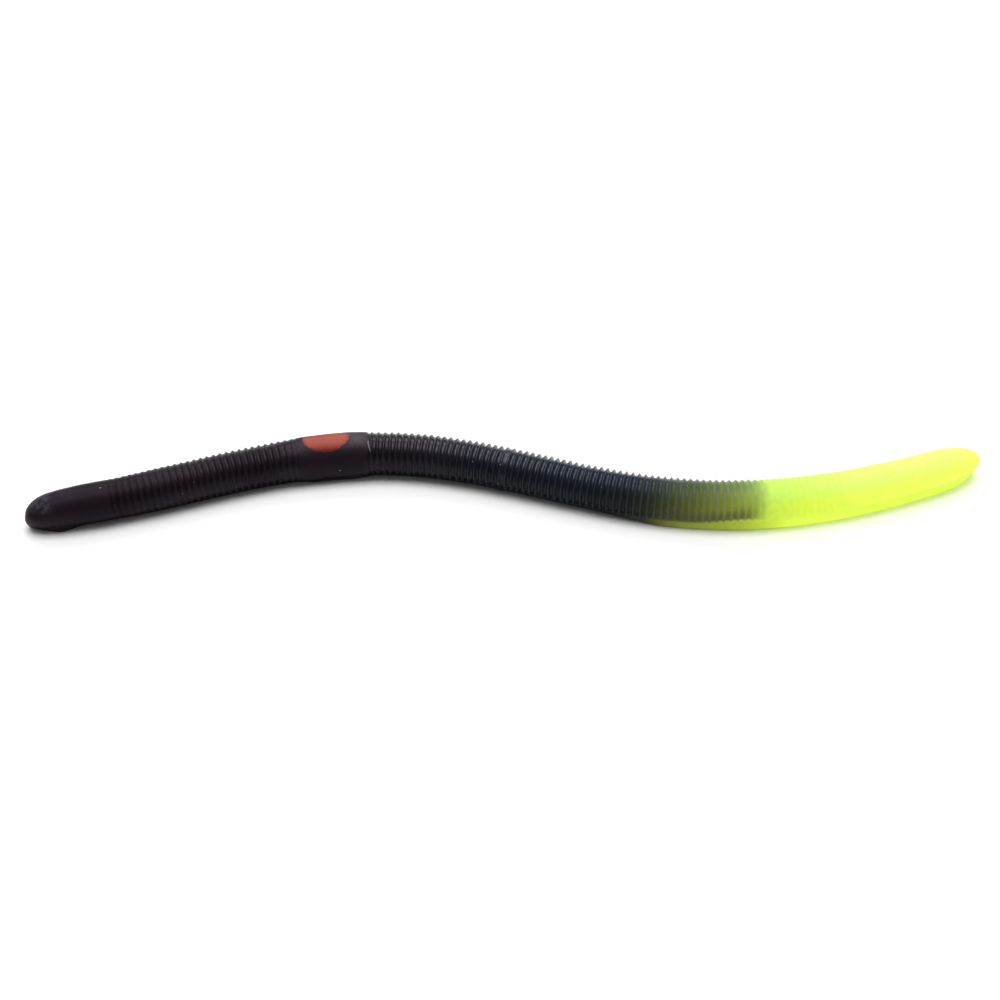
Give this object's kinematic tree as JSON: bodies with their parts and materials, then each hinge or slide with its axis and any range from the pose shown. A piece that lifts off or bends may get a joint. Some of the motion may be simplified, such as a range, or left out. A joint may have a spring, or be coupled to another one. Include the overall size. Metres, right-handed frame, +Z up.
{
  "type": "soft plastic worm",
  "caption": "Straight-tailed ringed soft plastic fishing worm, dark with a bright tail and a coloured dot on a smooth saddle, jointed along its length so that it bends and lifts.",
  "frame": {"origin": "middle of the worm's box, on the surface that its flat underside lies on", "axes": "+X runs from the nose to the tail tip, +Y is to the worm's left, +Z is up out of its back"},
  "size_m": [0.1464, 0.0192, 0.0065],
  "materials": {
    "dark_plastic": "satin",
    "bright_plastic": "satin",
    "dot_plastic": "matte"
  },
  "bodies": {
    "nose": {"nose": "dark_plastic"},
    "front_rings_1": {"front_rings_1": "dark_plastic"},
    "front_rings_2": {"front_rings_2": "dark_plastic"},
    "front_rings_3": {"front_rings_3": "dark_plastic"},
    "front_rings_4": {"front_rings_4": "dark_plastic"},
    "saddle": {"saddle": "dark_plastic", "saddle_dot": "dot_plastic"},
    "rear_rings_1": {"rear_rings_1": "dark_plastic"},
    "rear_rings_2": {"rear_rings_2": "dark_plastic"},
    "rear_rings_3": {"rear_rings_3": "dark_plastic"},
    "rear_rings_4": {"rear_rings_4": "dark_plastic"},
    "rear_rings_5": {"rear_rings_5": "dark_plastic"},
    "rear_rings_6": {"rear_rings_6": "dark_plastic"},
    "rear_rings_7": {"rear_rings_7": "dark_plastic", "bright_tongue_1": "bright_plastic"},
    "rear_rings_8": {"rear_rings_8": "dark_plastic", "bright_tongue_2": "bright_plastic"},
    "faint_rings_1": {"faint_rings_1": "bright_plastic"},
    "faint_rings_2": {"faint_rings_2": "bright_plastic"},
    "tail_1": {"tail_1": "bright_plastic"},
    "tail_2": {"tail_2": "bright_plastic"},
    "tail_tip": {"tail_tip": "bright_plastic"}
  },
  "joints": [
    {"name": "saddle_front_bend", "type": "hinge", "parent": "saddle", "child": "front_rings_4", "pos_m": [-0.03305, 0.00459, 0.0029], "axis": [0, 0, -1], "range_deg": [-25, 25], "stiffness_Nm_per_rad": 0.0005},
    {"name": "front_lift_2", "type": "hinge", "parent": "front_rings_4", "child": "front_rings_3", "pos_m": [-0.04076, 0.00245, 0.0029], "axis": [-0.3007, 0.9537, 0], "range_deg": [0, 20], "stiffness_Nm_per_rad": 0.0005},
    {"name": "front_bend", "type": "hinge", "parent": "front_rings_3", "child": "front_rings_2", "pos_m": [-0.04735, 0.00012, 0.0029], "axis": [0, 0, -1], "range_deg": [-25, 25], "stiffness_Nm_per_rad": 0.0005},
    {"name": "front_lift_1", "type": "hinge", "parent": "front_rings_2", "child": "front_rings_1", "pos_m": [-0.05391, -0.00233, 0.0029], "axis": [-0.3338, 0.9426, 0], "range_deg": [0, 20], "stiffness_Nm_per_rad": 0.0005},
    {"name": "nose_bend", "type": "hinge", "parent": "front_rings_1", "child": "nose", "pos_m": [-0.06055, -0.00456, 0.0029], "axis": [0, 0, -1], "range_deg": [-25, 25], "stiffness_Nm_per_rad": 0.0005},
    {"name": "saddle_rear_bend", "type": "hinge", "parent": "saddle", "child": "rear_rings_1", "pos_m": [-0.02214, 0.00603, 0.0029], "axis": [0, 0, 1], "range_deg": [-25, 25], "stiffness_Nm_per_rad": 0.0005},
    {"name": "rear_lift_1", "type": "hinge", "parent": "rear_rings_1", "child": "rear_rings_2", "pos_m": [-0.01415, 0.00561, 0.0029], "axis": [-0.1262, -0.992, 0], "range_deg": [0, 20], "stiffness_Nm_per_rad": 0.0005},
    {"name": "rear_bend_1", "type": "hinge", "parent": "rear_rings_2", "child": "rear_rings_3", "pos_m": [-0.00631, 0.00401, 0.0029], "axis": [0, 0, 1], "range_deg": [-25, 25], "stiffness_Nm_per_rad": 0.0005},
    {"name": "rear_lift_2", "type": "hinge", "parent": "rear_rings_3", "child": "rear_rings_4", "pos_m": [0.00136, 0.00174, 0.0029], "axis": [-0.3007, -0.9537, 0], "range_deg": [0, 20], "stiffness_Nm_per_rad": 0.0005},
    {"name": "rear_bend_2", "type": "hinge", "parent": "rear_rings_4", "child": "rear_rings_5", "pos_m": [0.00894, -0.0008, 0.0029], "axis": [0, 0, 1], "range_deg": [-25, 25], "stiffness_Nm_per_rad": 0.0005},
    {"name": "rear_lift_3", "type": "hinge", "parent": "rear_rings_5", "child": "rear_rings_6", "pos_m": [0.01662, -0.00307, 0.0029], "axis": [-0.2419, -0.9703, 0], "range_deg": [0, 20], "stiffness_Nm_per_rad": 0.0005},
    {"name": "rear_bend_3", "type": "hinge", "parent": "rear_rings_6", "child": "rear_rings_7", "pos_m": [0.02445, -0.00466, 0.0029], "axis": [0, 0, 1], "range_deg": [-25, 25], "stiffness_Nm_per_rad": 0.0005},
    {"name": "rear_lift_4", "type": "hinge", "parent": "rear_rings_7", "child": "rear_rings_8", "pos_m": [0.03243, -0.00529, 0.0029], "axis": [-0.0175, -0.9998, 0], "range_deg": [0, 20], "stiffness_Nm_per_rad": 0.0005},
    {"name": "rear_bend_4", "type": "hinge", "parent": "rear_rings_8", "child": "faint_rings_1", "pos_m": [0.03942, -0.00499, 0.0029], "axis": [0, 0, 1], "range_deg": [-25, 25], "stiffness_Nm_per_rad": 0.0005},
    {"name": "faint_rings_lift", "type": "hinge", "parent": "faint_rings_1", "child": "faint_rings_2", "pos_m": [0.04536, -0.0041, 0.0029], "axis": [0.1865, -0.9825, 0], "range_deg": [0, 20], "stiffness_Nm_per_rad": 0.0005},
    {"name": "tail_bend_1", "type": "hinge", "parent": "faint_rings_2", "child": "tail_1", "pos_m": [0.0512, -0.00275, 0.0029], "axis": [0, 0, 1], "range_deg": [-25, 25], "stiffness_Nm_per_rad": 0.0005},
    {"name": "tail_lift", "type": "hinge", "parent": "tail_1", "child": "tail_2", "pos_m": [0.05883, -0.00034, 0.0029], "axis": [0.3338, -0.9426, 0], "range_deg": [0, 20], "stiffness_Nm_per_rad": 0.0005},
    {"name": "tail_bend_2", "type": "hinge", "parent": "tail_2", "child": "tail_tip", "pos_m": [0.06628, 0.00259, 0.0029], "axis": [0, 0, 1], "range_deg": [-25, 25], "stiffness_Nm_per_rad": 0.0005}
  ]
}
